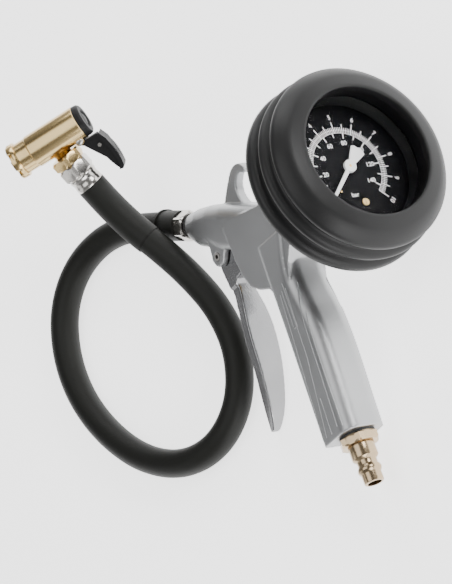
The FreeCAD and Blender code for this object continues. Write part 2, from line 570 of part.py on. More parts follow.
def make_lever():
    head = slab([(100.0, 7.6), (103.4, 9.6), (108.4, 11.2), (112, 11.8), (115.6, 10.6), (117.4, 7.0),
                 (117.2, 0.0), (115.8, -10.0), (110.6, -10.0), (107.6, -7.4), (100.6, -6.4), (99.7, -5.0)],
                -size("head_half"), size("head_half"))
    front = ((117.2, 0.0), (115.6, -13), (115.2, -26), (116.8, -39), (119.0, -52), (122.0, -62), (126.2, -73),
             (130.0, -80.6))
    back = ((127.4, -80.8), (121.8, -74.8), (116.4, -63), (113.0, -52), (110.8, -39), (109.4, -26),
            (109.6, -13), (110.4, -4.0))
    blade = curved_slab((front, (front[-1], back[0]), back, (back[-1], front[0])), 10.0)
    leaf = []
    for side in (1, -1):
        curve = Part.BSplineCurve()
        curve.interpolate([Vec(90, side * half, z) for half, z in (
            (4.6, 2.0), (4.9, -13), (7.0, -26), (7.7, -39), (6.9, -52), (5.9, -62), (4.0, -74), (1.6, -82))])
        leaf.append(curve.toShape())
    ends = [Part.LineSegment(leaf[0].valueAt(at), leaf[1].valueAt(at)).toShape()
            for at in (leaf[0].FirstParameter, leaf[0].LastParameter)]
    plan = Part.Face(Part.Wire([leaf[0], ends[1], leaf[1], ends[0]])).extrude(Vec(50, 0, 0))
    side = Vec(0, 20, 0)
    pivot = Vec(size("pivot_x"), 0, size("pivot_z"))
    bore = rod(pivot - side, pivot + side, size("lever_bore"))
    shaped("trigger_lever", head.fuse(blade.common(plan)).cut(bore).removeSplitter(), GUN)
    turned("lever_pin", [
        ("0 - pin_half", "pin_bore"), ("0 - pin_half", "pin_rad"), ("pin_half", "pin_rad"),
        ("pin_half", "pin_bore")], PIVOT)


# ---------------------------------------------------------------- air inlet
def make_inlet():
    ring("inlet_washer", "0", "washer_thick", "inlet_thread", "washer_rad", PLUG)
    stem = turned_body("plug_stem", [
        ("0 - inlet_thread_deep + 1", "plug_bore"), ("0 - inlet_thread_deep + 1", "inlet_thread"),
        ("washer_thick", "inlet_thread"), ("plug_hex_end", "inlet_thread"),
        ("plug_hex_end", "plug_body_rad"),
        ("plug_body_end", "plug_body_rad"), ("plug_neck_start", "plug_neck_rad"),
        ("plug_neck_end", "plug_neck_rad"), ("plug_bead_start", "plug_bead_rad"),
        ("plug_bead_end", "plug_bead_rad"), ("plug_tip_start", "plug_tip_rad"),
        ("plug_end - 0.5", "plug_tip_rad"), ("plug_end", "plug_tip_rad - 0.5"), ("plug_end", "plug_bore")])
    nut = hexagon("plug_nut", "plug_flats", "washer_thick", "plug_hex_end", "inlet_thread")
    keep("inlet_plug", fused("inlet_plug_whole", stem, nut), PLUG)
    deep = "0 - strainer_deep"
    turned("inlet_strainer", [
        (deep, "0"), (deep, "strainer_rad - 0.1"), ("0 - inlet_thread_deep", "strainer_rad - 0.1"),
        ("0 - inlet_thread_deep", "strainer_rad - 0.7"), (deep + " + 0.6", "strainer_rad - 0.7"),
        (deep + " + 0.6", "0")], PLUG)


# ---------------------------------------------------------------- hose end at the gun
def make_hose_end():
    ring("adapter_seal", "0", "seal_thick", "hose_thread", "seal_rad", BARREL)
    turned("hose_adapter", [
        ("1 - hose_thread_deep", "barb_bore"), ("1 - hose_thread_deep", "hose_thread"),
        ("seal_thick", "hose_thread"), ("nut_end", "hose_thread"), ("nut_end", "barb_rad"),
        ("nut_end + barb_length - 2", "barb_rad"), ("nut_end + barb_length", "barb_rad - 0.8"),
        ("nut_end + barb_length", "barb_bore")], BARREL)
    collar = turned_body("nut_collar", [
        ("seal_thick", "hose_thread"), ("seal_thick", "collar_rad"), ("nut_start", "collar_rad"),
        ("nut_start", "hose_thread")])
    nut = hexagon("nut_body", "nut_flats", "nut_start", "nut_end", "hose_thread")
    keep("hose_nut", fused("hose_nut_whole", collar, nut), BARREL)
    turned("hose_sleeve", [
        ("nut_end", "hose_rad"), ("nut_end", "sleeve_rad"),
        ("nut_end + sleeve_length - bead_length", "sleeve_rad"),
        ("nut_end + sleeve_length - bead_length", "bead_rad"),
        ("nut_end + sleeve_length", "bead_rad"), ("nut_end + sleeve_length", "hose_rad")], BARREL)


# ---------------------------------------------------------------- chuck
CHUCK = FreeCAD.Placement(
    Vec(size("chuck_x"), size("chuck_y"), size("chuck_z")),
    FreeCAD.Rotation(size("chuck_yaw"), size("chuck_pitch"), size("chuck_roll")))
CHUCK_BARREL = CHUCK * FreeCAD.Placement(Vec(0, 0, 0), FreeCAD.Rotation(Vec(0, 0, 1), Vec(1, 0, 0)))
CHUCK_STEM = CHUCK * FreeCAD.Placement(
    Vec(0, 0, 0), FreeCAD.Rotation(Vec(0, 1, 0), 180 - size("stem_lean")))
THUMB_PIVOT = CHUCK * FreeCAD.Placement(
    Vec(size("thumb_pivot_x"), 0, size("thumb_pivot_z")), FreeCAD.Rotation(Vec(1, 0, 0), 90))


def make_chuck_barrel():
    """Brass barrel with a tapped side hole for its stem, and ears and a slot for the thumb lever."""
    along_x = Vec(1, 0, 0)
    lean = math.radians(size("stem_lean"))
    down = Vec(math.sin(lean), 0, -math.cos(lean))
    pivot = Vec(size("thumb_pivot_x"), 0, size("thumb_pivot_z"))
    side = Vec(0, 1, 0)
    barrel = rod(along_x * size("mouth_back"), along_x * size("chuck_end"), size("chuck_neck_rad"))
    barrel = barrel.fuse(rod(along_x * size("neck_back"), along_x * size("chuck_end"), size("chuck_rad")))
    ear = side * size("ear_out")
    barrel = barrel.fuse(rod(pivot - ear, pivot + ear, size("ear_rad")))
    slot = [(6.2, -3), (15.2, -3), (15.2, -12), (6.2, -12)]
    for hole in (
            rod(along_x * -20, along_x * 20, size("chuck_bore")),
            rod(down * 5, down * 12, size("stem_thread")),
            slab(slot, -size("ear_in"), size("ear_in")),
            rod(pivot - side * 10, pivot + side * 10, size("thumb_pin_rad")),
            rod(pivot + ear, pivot + side * 10, size("thumb_head_rad") + 0.1),
            rod(pivot - ear, pivot - side * 10, size("thumb_head_rad") + 0.1)):
        barrel = barrel.cut(hole)
    shaped("chuck_barrel", barrel.removeSplitter(), CHUCK)


def make_chuck():
    make_chuck_barrel()
    mouth = turned_body("mouth_ring", [
        ("mouth_front", "mouth_bore + 0.5"), ("mouth_front", "mouth_rad - 0.5"),
        ("mouth_front + 0.5", "mouth_rad"),
        ("mouth_back", "mouth_rad"), ("mouth_back", "chuck_bore"), ("jaw_front", "chuck_bore"),
        ("jaw_front", "mouth_bore"), ("mouth_front + 0.5", "mouth_bore")])
    notches = []
    for turn in range(6):
        notch = doc.addObject("Part::Box", f"mouth_notch_{turn}")
        notch.Length = 20.0
        notch.Width = 3.6
        notch.Height = 2.0
        spin = FreeCAD.Rotation(Vec(0, 0, 1), 60.0 * turn)
        notch.Placement = FreeCAD.Placement(spin.multVec(Vec(6.8, -1.8, size("mouth_front") - 0.2)), spin)
        notches.append(notch)
    keep("chuck_mouth", cut("mouth_notched", mouth, fused("mouth_notches", *notches)), CHUCK_BARREL)
    jaws = []
    for turn in range(3):
        jaw = Part.makeCylinder(size("chuck_slide_rad"), size("jaw_back") - size("jaw_front") - 0.2,
                                Vec(0, 0, size("jaw_front") + 0.1), Vec(0, 0, 1), 104)
        jaw = jaw.cut(Part.makeCylinder(size("mouth_bore") + 0.2, 20, Vec(0, 0, size("mouth_front"))))
        jaw.rotate(Vec(0, 0, 0), Vec(0, 0, 1), 120.0 * turn)
        jaws.append(jaw)
    shaped("chuck_jaws", Part.makeCompound(jaws), CHUCK_BARREL)
    ring("chuck_seal", "jaw_back", "chuck_seal_back", "2.2", "chuck_bore", CHUCK_BARREL)
    turned("chuck_plunger", [
        ("chuck_seal_back + 0.1", "1"), ("chuck_seal_back + 0.1", "chuck_slide_rad"),
        ("plunger_shoulder", "chuck_slide_rad"), ("plunger_shoulder", "plunger_neck"),
        ("flange_front", "plunger_neck"), ("flange_front", "flange_rad"),
        ("flange_back", "flange_rad"), ("flange_back", "1")], CHUCK_BARREL)
    turned("depressor_pin", [
        ("jaw_back", "0"), ("jaw_back", "1"), ("flange_back", "1"), ("flange_back", "0")], CHUCK_BARREL)
    coil("chuck_spring", "chuck_wire", "chuck_coil", "flange_back", "cap_in", "chuck_turns", CHUCK_BARREL)
    turned("chuck_cap", [
        ("cap_in", "0"), ("cap_in", "chuck_bore"), ("chuck_end", "chuck_bore"),
        ("chuck_end", "chuck_rad - 0.2"),
        ("cap_end - 1", "chuck_rad - 0.4"), ("cap_end", "chuck_rad - 1.2"), ("cap_end", "4.6"),
        ("cap_end - 0.8", "4"), ("cap_end - 0.8", "0")], CHUCK_BARREL)
    make_thumb_lever()
    make_chuck_stem()


def make_thumb_lever():
    half = size("web_half")
    web = slab([(7.8, -4.6), (9.5, -4.6), (9.5, -6.4), (14.4, -6.4), (15.0, -8.8), (21.2, -8.9),
                (22.8, -14.0), (23.4, -20.0), (23.4, -27.0), (21.2, -29.2), (20.4, -27.6), (19.3, -24.0),
                (18.8, -21.6), (12.6, -10.8), (11.4, -9.9), (10.2, -8.4), (8.2, -7.4)], -half, half)
    wide = size("thumb_half")
    pad = slab([(21.2, -9.8), (22.6, -8.9), (24.2, -13.0), (24.9, -19.0), (24.9, -25.0), (24.4, -28.6),
                (23.2, -30.0), (21.2, -29.6), (22.5, -27.6), (22.9, -24.0), (22.9, -19.0), (22.2, -14.0)],
               -wide, wide)
    side = Vec(0, 10, 0)
    pivot = Vec(size("thumb_pivot_x"), 0, size("thumb_pivot_z"))
    rivet = Vec(19.4, 0, -14.4)
    lever = web.fuse(pad).cut(rod(pivot - side, pivot + side, size("thumb_bore")))
    lever = lever.cut(rod(rivet - side, rivet + side, size("rivet_rad")))
    shaped("thumb_lever", lever.removeSplitter(), CHUCK)
    reach = Vec(0, half + 0.6, 0)
    shaped("thumb_rivet", rod(rivet - reach, rivet + reach, size("rivet_rad")), CHUCK)
    turned("thumb_pin", [
        ("0 - ear_out - 0.6", "0"), ("0 - ear_out - 0.6", "thumb_head_rad - 0.5"),
        ("0 - ear_out", "thumb_head_rad"),
        ("0 - ear_out", "thumb_pin_rad"), ("ear_out", "thumb_pin_rad"), ("ear_out", "thumb_head_rad"),
        ("ear_out + 0.6", "thumb_head_rad - 0.5"), ("ear_out + 0.6", "0")], THUMB_PIVOT)


def make_chuck_stem():
    core = turned_body("stem_core", [
        ("7", "stem_bore"), ("7", "stem_thread"), ("swivel_end", "stem_thread"), ("swivel_end", "barb_rad"),
        ("ferrule_end + 5", "barb_rad"), ("ferrule_end + 7", "barb_rad - 0.8"),
        ("ferrule_end + 7", "stem_bore")])
    flats = hexagon("stem_hex", "stem_flats", "stem_hex_start", "stem_hex_end", "stem_thread")
    keep("chuck_stem", fused("chuck_stem_whole", core, flats), CHUCK_STEM)
    nut = hexagon("swivel_nut_body", "swivel_flats", "swivel_start", "swivel_end", "stem_thread")
    keep("swivel_nut", nut, CHUCK_STEM)
    turned("hose_ferrule", [
        ("swivel_end", "barb_rad"), ("swivel_end", "7.2"), ("swivel_end + 1", "7.5"),
        ("swivel_end + 2", "7.2"),
        ("ferrule_end", "7.2"), ("ferrule_end", "barb_rad")], CHUCK_STEM)


# ---------------------------------------------------------------- hose
HOSE_END = CHUCK_STEM.multVec(Vec(0, 0, size("ferrule_end")))
HOSE_ROUTE = [
    LAY.multVec(on_barrel(size("nut_end"))),
    LAY.multVec(on_barrel(size("first_bend"))),
    Vec(121.5, -98.2, 7.0),
    Vec(146.5, -93.0, 7.0),
    Vec(163.2, -77.0, 7.0),
    Vec(169.5, -54.0, 7.0),
    Vec(167.0, -29.0, 7.0),
    Vec(155.5, -4.0, 7.0),
    Vec(137.0, 18.0, 7.0),
    Vec(113.5, 31.0, 7.0),
    Vec(89.0, 30.5, 7.0),
    Vec(70.5, 15.5, 7.0),
    Vec(64.0, -8.5, 7.0),
    Vec(67.0, -32.0, 9.6),
    Vec(75.5, -52.8, 14.4),
    Vec(84.5, -70.0, 20.4),
    Vec(92.2, -84.0, 27.6),
    CHUCK_STEM.multVec(Vec(0, 0, size("ferrule_end") + size("last_run"))),
    HOSE_END,
]


def route_edges(points):
    """Straight runs joined by the largest tangent arcs the runs allow."""
    edges = []
    start = points[0]
    for before, corner, after in zip(points, points[1:], points[2:]):
        inward = (corner - before).normalize()
        outward = (after - corner).normalize()
        turn = inward.getAngle(outward)
        reach = 0.45 * min((corner - before).Length, (after - corner).Length)
        radius = reach / math.tan(0.5 * turn)
        first = corner - inward * reach
        last = corner + outward * reach
        toward_centre = (outward - inward).normalize()
        middle = corner + toward_centre * (math.hypot(radius, reach) - radius)
        edges.append(Part.LineSegment(start, first).toShape())
        edges.append(Part.Arc(first, middle, last).toShape())
        print(f"hose bend {math.degrees(turn):5.1f} degrees, radius {radius:6.1f}")
        start = last
    edges.append(Part.LineSegment(start, points[-1]).toShape())
    return edges


def pipe(edges, radius):
    path = Part.Wire(edges)
    first = edges[0]
    way = first.tangentAt(first.FirstParameter)
    return path.makePipeShell([ring_wire(first.valueAt(first.FirstParameter), way, radius)], True, False)


def make_hose():
    edges = route_edges(HOSE_ROUTE)
    length = sum(edge.Length for edge in edges)
    tube = pipe(edges, "hose_rad").cut(pipe(edges, "hose_in_rad"))
    section = math.pi * (size("hose_rad") ** 2 - size("hose_in_rad") ** 2)
    ratio = tube.Volume / (section * length)
    print(f"hose length {length:.1f}, volume over section times length {ratio:.5f}")
    shaped("air_hose", tube, FreeCAD.Placement())
    covered = edges[-5:]
    shaped("kink_sleeve", pipe(covered, "kink_rad").cut(pipe(covered, "kink_in_rad")), FreeCAD.Placement())
    print(f"kink sleeve length {sum(edge.Length for edge in covered):.1f}")


# ---------------------------------------------------------------- build and write
def write_parts():
    doc.recompute()
    for item in doc.Objects:
        if any(word in item.State for word in ("Invalid", "Error")):
            raise RuntimeError(f"{item.Label} failed: {item.State}")
    os.makedirs("parts", exist_ok=True)
    for name, piece in NODES.items():
        shape = piece.Shape
        if shape.isNull() or not shape.isValid():
            raise RuntimeError(f"{name} has a bad shape")
        shape.exportStep(f"parts/{name}.step")
        box = shape.BoundBox
        print(f"{name:24s} solids {len(shape.Solids)} volume {shape.Volume:10.1f} "
              f"z {box.ZMin:7.2f} to {box.ZMax:7.2f}")


make_gauge()
make_casting()
make_valve()
make_lever()
make_inlet()
make_hose_end()
make_chuck()
make_hose()
write_parts()
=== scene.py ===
"""Looks of a tyre inflator: cast pistol grip, booted dial gauge, squeeze lever, hose and clip-on chuck."""
import json
import math

import bmesh
import bpy
from mathutils import Matrix, Vector
from mathutils.bvhtree import BVHTree


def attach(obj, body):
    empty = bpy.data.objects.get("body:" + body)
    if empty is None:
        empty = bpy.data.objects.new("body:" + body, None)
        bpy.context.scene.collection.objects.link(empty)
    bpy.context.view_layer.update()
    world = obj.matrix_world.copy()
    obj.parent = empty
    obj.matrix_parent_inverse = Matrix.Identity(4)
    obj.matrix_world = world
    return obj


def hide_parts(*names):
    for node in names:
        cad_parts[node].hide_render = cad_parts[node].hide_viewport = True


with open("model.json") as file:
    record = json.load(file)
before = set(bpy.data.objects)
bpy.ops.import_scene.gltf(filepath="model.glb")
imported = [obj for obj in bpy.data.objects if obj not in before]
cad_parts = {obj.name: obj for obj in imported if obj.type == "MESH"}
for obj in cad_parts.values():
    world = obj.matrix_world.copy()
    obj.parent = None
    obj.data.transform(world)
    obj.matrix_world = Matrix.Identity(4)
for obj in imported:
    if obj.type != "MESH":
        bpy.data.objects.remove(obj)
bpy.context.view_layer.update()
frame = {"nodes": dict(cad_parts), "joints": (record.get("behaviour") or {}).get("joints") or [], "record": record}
NODES = frame["nodes"]
JOINTS = {joint["name"]: joint for joint in frame["joints"]}
MM = 0.001


# ---------------------------------------------------------------- frames
def joint_axis(name):
    return Vector(JOINTS[name]["axis"]).normalized()


def axes(x_axis, y_axis, origin):
    """A frame with its unit in millimetres, from two of its axes and its origin in metres."""
    columns = (x_axis, y_axis, x_axis.cross(y_axis))
    turn = Matrix(columns).transposed().to_4x4()
    return Matrix.Translation(origin) @ turn @ Matrix.Scale(MM, 4)


def aimed(base, origin, direction):
    """The frame base moved to origin, with its Z turned along direction."""
    turn = Vector(direction).to_track_quat("Z", "Y").to_matrix().to_4x4()
    return base @ Matrix.Translation(origin) @ turn


# The gun's frame, with its origin at the dial's centre: X from the dial into the gauge, Y to the gun's left,
# Z up along the grip.
GUN = axes(joint_axis("needle_hinge"), joint_axis("trigger_hinge"), Vector(JOINTS["needle_hinge"]["pos_m"]))
# The dial's frame: X to the right of the dial as it is read, Y to its top, Z toward the reader.
DIAL = GUN @ Matrix(((0, 0, -1, 0), (-1, 0, 0, 0), (0, 1, 0, 0), (0, 0, 0, 1)))
# The chuck's frame: X along its barrel to the capped end, Z away from the hose.
CHUCK_X = joint_axis("release_slide")
CHUCK_Y = joint_axis("thumb_hinge")
THUMB_PIVOT = Vector((12.3, 0, -7.6))
STEM_LEAN = math.radians(8.284)
CHUCK = axes(CHUCK_X, CHUCK_Y, Vector(JOINTS["thumb_hinge"]["pos_m"]))
CHUCK = CHUCK @ Matrix.Translation(-THUMB_PIVOT)
# The chuck's stem: Z down the stem to the hose. The chuck's barrel: Z toward the capped end.
STEM = CHUCK @ Matrix.Rotation(math.pi - STEM_LEAN, 4, "Y")
BARREL = CHUCK @ Matrix.Rotation(math.pi / 2, 4, "Y")


# ---------------------------------------------------------------- camera, floor and light
def make_camera():
    """A long lens that looks at the dial from its front right; directions and distances are the gun's."""
    right = Vector((-0.4698, -0.8190, -0.3295))
    up = Vector((-0.4185, -0.1219, 0.9000))
    back = right.cross(up).normalized()
    dial_right_of_middle, dial_above_middle = 57.96, 59.04
    aim = right * -dial_right_of_middle - up * dial_above_middle
    distance = 7757
    turn = Matrix((right.normalized(), back.cross(right).normalized(), back)).transposed()
    data = bpy.data.cameras.new("camera")
    data.lens = 1000
    data.sensor_width = 36
    data.clip_end = 50
    camera = bpy.data.objects.new("camera", data)
    bpy.context.scene.collection.objects.link(camera)
    gun_turn = GUN.to_3x3() * (1 / MM)
    camera.matrix_world = Matrix.Translation(GUN @ (aim + back * distance)) @ (gun_turn @ turn).to_4x4()
    bpy.context.scene.camera = camera


def make_floor():
    mesh = bpy.data.meshes.new("floor")
    reach = 12.0
    corners = [(-reach, -reach, 0), (reach, -reach, 0), (reach, reach, 0), (-reach, reach, 0)]
    mesh.from_pydata(corners, [], [(0, 1, 2, 3)])
    floor = bpy.data.objects.new("floor", mesh)
    bpy.context.scene.collection.objects.link(floor)
    paper = surface("floor_paper", (0.93, 0.93, 0.93), roughness=0.9, grain=60, bump=0.02, shade=0.01,
                    glow=2.2)
    mesh.materials.append(paper)


def make_lights():
    softboxes = (  # name, place, width and height in metres, power in watts
        ("overhead", (0.05, 0.0, 1.10), (1.1, 0.8), 6),
        ("behind_barrel", (-0.15, -1.05, 0.55), (0.9, 0.5), 6),
        ("behind_dial", (-1.00, -0.31, 0.58), (0.6, 0.35), 7),
        ("below_grip", (-0.50, 0.85, 0.33), (0.8, 0.4), 6),
        ("past_nose", (1.0, 0.35, 0.5), (0.5, 0.8), 1.5),
    )
    for name, place, (width, height), power in softboxes:
        data = bpy.data.lights.new(name, "AREA")
        data.shape = "RECTANGLE"
        data.size = width
        data.size_y = height
        data.energy = power
        light = bpy.data.objects.new(name, data)
        light.location = place
        light.rotation_mode = "QUATERNION"
        light.rotation_quaternion = Vector(place).to_track_quat("Z", "Y")
        light.visible_camera = False
        bpy.context.scene.collection.objects.link(light)
    make_world()


def make_world():
    """A room that is brighter below than above."""
    world = bpy.data.worlds.new("studio")
    bpy.context.scene.world = world
    world.use_nodes = True
    nodes, links = world.node_tree.nodes, world.node_tree.links
    coords = nodes.new("ShaderNodeTexCoord")
    split = nodes.new("ShaderNodeSeparateXYZ")
    ramp = nodes.new("ShaderNodeValToRGB")
    ramp.color_ramp.elements[0].position = 0.25
    ramp.color_ramp.elements[0].color = (0.95, 0.95, 0.96, 1)
    ramp.color_ramp.elements[1].position = 0.75
    ramp.color_ramp.elements[1].color = (0.35, 0.35, 0.355, 1)
    links.new(coords.outputs["Generated"], split.inputs[0])
    links.new(split.outputs["Z"], ramp.inputs["Fac"])
    links.new(ramp.outputs["Color"], nodes["Background"].inputs["Color"])
    nodes["Background"].inputs["Strength"].default_value = 0.5


# ---------------------------------------------------------------- materials
def surface(name, color, metallic=0.0, roughness=0.5, spread=0.06, grain=900.0, bump=0.08, shade=0.08,
            patches=35.0, painted_edge_highlight=0.0, coat=0.0, glow=0.0, wave=0.0, transmission=0.0, ior=1.5):
    """A finish whose colour, roughness and height all vary: broad patches, fine grain, swells, and convex edges
    lightened as a painted highlight.
    """
    material = bpy.data.materials.new(name)
    material.use_nodes = True
    nodes, links = material.node_tree.nodes, material.node_tree.links
    shader = nodes["Principled BSDF"]
    shader.inputs["Metallic"].default_value = metallic
    shader.inputs["Coat Weight"].default_value = coat
    shader.inputs["Emission Color"].default_value = [*color, 1]
    shader.inputs["Emission Strength"].default_value = glow
    shader.inputs["Transmission Weight"].default_value = transmission
    shader.inputs["IOR"].default_value = ior
    place = nodes.new("ShaderNodeTexCoord").outputs["Object"]

    broad = nodes.new("ShaderNodeTexNoise")
    broad.inputs["Scale"].default_value = patches
    broad.inputs["Detail"].default_value = 4
    links.new(place, broad.inputs["Vector"])
    tone = nodes.new("ShaderNodeValToRGB")
    tone.color_ramp.elements[0].position = 0.3
    tone.color_ramp.elements[0].color = [channel * (1 - shade) for channel in color] + [1]
    tone.color_ramp.elements[1].position = 0.7
    tone.color_ramp.elements[1].color = [min(1, channel * (1 + shade)) for channel in color] + [1]
    links.new(broad.outputs["Fac"], tone.inputs["Fac"])
    last = tone.outputs["Color"]
    # Painted highlight: convex edges, found by pointiness, are mixed toward a lighter copy of the colour.
    if painted_edge_highlight:
        geometry = nodes.new("ShaderNodeNewGeometry")
        edge = nodes.new("ShaderNodeMapRange")
        edge.inputs["From Min"].default_value = 0.52
        edge.inputs["From Max"].default_value = 0.62
        edge.inputs["To Max"].default_value = painted_edge_highlight
        lift = nodes.new("ShaderNodeMix")
        lift.data_type = "RGBA"
        lift.inputs["B"].default_value = [min(1, channel * 1.5 + 0.02) for channel in color] + [1]
        links.new(geometry.outputs["Pointiness"], edge.inputs["Value"])
        links.new(edge.outputs["Result"], lift.inputs["Factor"])
        links.new(last, lift.inputs["A"])
        last = lift.outputs["Result"]
    links.new(last, shader.inputs["Base Color"])

    fine = nodes.new("ShaderNodeTexNoise")
    fine.inputs["Scale"].default_value = grain
    fine.inputs["Detail"].default_value = 3
    links.new(place, fine.inputs["Vector"])
    rough = nodes.new("ShaderNodeMapRange")
    rough.inputs["To Min"].default_value = max(0.02, roughness - spread)
    rough.inputs["To Max"].default_value = roughness + spread
    links.new(broad.outputs["Fac"], rough.inputs["Value"])
    links.new(rough.outputs["Result"], shader.inputs["Roughness"])
    height = nodes.new("ShaderNodeBump")
    height.inputs["Strength"].default_value = bump
    height.inputs["Distance"].default_value = 0.0004
    links.new(fine.outputs["Fac"], height.inputs["Height"])
    if wave:
        swell = nodes.new("ShaderNodeBump")
        swell.inputs["Strength"].default_value = wave
        swell.inputs["Distance"].default_value = 0.004
        links.new(broad.outputs["Fac"], swell.inputs["Height"])
        links.new(swell.outputs["Normal"], height.inputs["Normal"])
    links.new(height.outputs["Normal"], shader.inputs["Normal"])
    return material


# The edge setting of a finish strengthens the painted highlight along its convex edges.
FINISHES = {
    "casting": dict(color=(0.40, 0.405, 0.41), metallic=1, roughness=0.38, grain=2600, bump=0.22, shade=0.06,
                    painted_edge_highlight=0.5),
    "lever_alloy": dict(color=(0.30, 0.30, 0.305), metallic=1, roughness=0.24, grain=1100, bump=0.16,
                        painted_edge_highlight=0.5, patches=40, wave=0.10),
    "black_plastic": dict(color=(0.005, 0.005, 0.0055), roughness=0.48, grain=1500, bump=0.12, ior=1.33),
    "boot_rubber": dict(color=(0.006, 0.006, 0.0062), roughness=0.42, grain=1800, bump=0.12, ior=1.38,
                        painted_edge_highlight=0.1),
    "hose_rubber": dict(color=(0.0045, 0.0048, 0.0032), roughness=0.55, grain=1300, bump=0.16, shade=0.15,
                        ior=1.36),
    "seal_rubber": dict(color=(0.02, 0.02, 0.02), roughness=0.6, grain=1500),
    "case_steel": dict(color=(0.03, 0.03, 0.032), roughness=0.35, grain=900, coat=0.4),
    "bezel_chrome": dict(color=(0.10, 0.10, 0.105), metallic=0.6, roughness=0.30, grain=2200, bump=0.05),
    "clear_lens": dict(color=(1, 1, 1), roughness=0.03, spread=0.01, bump=0.01, transmission=1, ior=1.06,
                       shade=0.0),
    "dial_black": dict(color=(0.003, 0.003, 0.0045), roughness=0.5, grain=2500, bump=0.05, ior=1.2),
    # Painted light: the white print glows faintly, though it is no lamp.
    "pointer_white": dict(color=(0.93, 0.93, 0.93), roughness=0.45, grain=2500, bump=0.03, shade=0.02,
                          glow=0.35),
    "gauge_brass": dict(color=(0.66, 0.48, 0.22), metallic=1, roughness=0.28, grain=1500),
    "chuck_brass": dict(color=(0.60, 0.44, 0.21), metallic=1, roughness=0.22, grain=1800, bump=0.05,
                        painted_edge_highlight=0.3),
    "plug_brass": dict(color=(0.46, 0.35, 0.22), metallic=1, roughness=0.24, grain=1800, bump=0.05, painted_edge_highlight=0.3),
    "nickel": dict(color=(0.55, 0.53, 0.50), metallic=1, roughness=0.22, grain=1700, bump=0.05, painted_edge_highlight=0.4),
    "spring_steel": dict(color=(0.45, 0.45, 0.46), metallic=1, roughness=0.3, grain=1700),
}
MATERIALS = {slot: surface(slot, **finish) for slot, finish in FINISHES.items()}
SLOT_OF = {part["node"]: part["material_slot"] for part in frame["record"]["subparts"]}


def dress_cad_nodes():
    for name, node in NODES.items():
        node.data.materials.clear()
        node.data.materials.append(MATERIALS[SLOT_OF[name]])


# ---------------------------------------------------------------- mesh helpers
def piece_from(name, mesh, slot, body="gun", smooth=True):
    piece = bpy.data.objects.new(name, mesh)
    bpy.context.scene.collection.objects.link(piece)
    for polygon in mesh.polygons:
        polygon.use_smooth = smooth
    mesh.materials.append(MATERIALS[slot])
    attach(piece, body)
    return piece


def skinned(rings, matrix, closed=False):
    """A mesh over rings of points, all of one length, given in millimetres in the frame matrix."""
    count = len(rings[0])
    mesh = bpy.data.meshes.new("skin")
    points = [matrix @ Vector(point) for ring in rings for point in ring]
    faces = []
    spans = len(rings) if closed else len(rings) - 1
    for row in range(spans):
        this, other = row * count, (row + 1) % len(rings) * count
        for step in range(count):
            after = (step + 1) % count
            faces.append((this + step, this + after, other + after, other + step))
    mesh.from_pydata(points, [], faces)
    return mesh


def recalculated(mesh):
    shell = bmesh.new()
    shell.from_mesh(mesh)
    bmesh.ops.remove_doubles(shell, verts=shell.verts, dist=1e-7)
    bmesh.ops.recalc_face_normals(shell, faces=shell.faces)
    shell.to_mesh(mesh)
    shell.free()
    return mesh


def lathe(profile, matrix, steps=128):
    """A ring turned round Z from (station, radius) points, closed on itself."""
    rings = []
    for station, radius in profile:
        rings.append([(radius * math.cos(turn), radius * math.sin(turn), station)
                      for turn in (math.tau * step / steps for step in range(steps))])
    return recalculated(skinned(rings, matrix, closed=True))


# ---------------------------------------------------------------- gauge
# the dial's scales: clock angles in degrees, radii, heights and widths in millimetres
ZERO = 225.0
SWEEP = 27.0
FULL_SWEEP = 270.0
INNER_PER_UNIT = 14.504
PRINT_HEIGHT = 0.06
FINE_PRINT_HEIGHT = 0.05
ARC_WIDTH = 0.22
OUTER_NUMERALS = 26.9
INNER_NUMERALS = 13.4


def quad(shell, matrix, corners):
    shell.faces.new([shell.verts.new(matrix @ Vector(corner)) for corner in corners])


def on_clock(degrees, radius, aside=0.0, lift=0.0):
    """A point of the dial at a clock angle, aside from that ray."""
    turn = math.radians(degrees)
    return Vector((radius * math.sin(turn) + aside * math.cos(turn),
                   radius * math.cos(turn) - aside * math.sin(turn), lift))


def tick(shell, degrees, inner, outer, width, lift=PRINT_HEIGHT):
    half = width / 2
    quad(shell, DIAL, [on_clock(degrees, inner, -half, lift), on_clock(degrees, outer, -half, lift),
                       on_clock(degrees, outer, half, lift), on_clock(degrees, inner, half, lift)])


def lettering(text, size, place, turn, name):
    """White printed characters centred on a place of the dial, turned by an angle about Z."""
    curve = bpy.data.curves.new(name, "FONT")
    curve.body = text
    curve.size = size
    curve.align_x = "CENTER"
    curve.align_y = "CENTER"
    curve.offset = 0.06
    sign = bpy.data.objects.new(name, curve)
    mesh = bpy.data.meshes.new_from_object(sign)
    bpy.data.objects.remove(sign)
    mesh.transform(DIAL @ Matrix.Translation(place) @ Matrix.Rotation(turn, 4, "Z"))
    piece_from(name, mesh, "pointer_white", smooth=False)


def inner_angle(value):
    return ZERO + SWEEP * value / INNER_PER_UNIT


def print_from(name, shell):
    mesh = bpy.data.meshes.new(name)
    shell.to_mesh(mesh)
    shell.free()
    piece_from(name, mesh, "pointer_white", smooth=False)


def make_bold_print():
    """The long ticks: the outer scale's whole and half units, and the inner scale's, pointing inward."""
    shell = bmesh.new()
    for half_unit in range(21):
        outer, width = (24.5, 0.55) if half_unit % 2 == 0 else (23.4, 0.5)
        tick(shell, ZERO + SWEEP * half_unit / 2, 18.6, outer, width)
    for step in range(1, 8):
        tick(shell, inner_angle(20 * step), 15.8, 18.8, 0.6)
    for step in range(1, 15, 2):
        tick(shell, inner_angle(10 * step), 16.4, 18.8, 0.5)
    print_from("dial_print", shell)


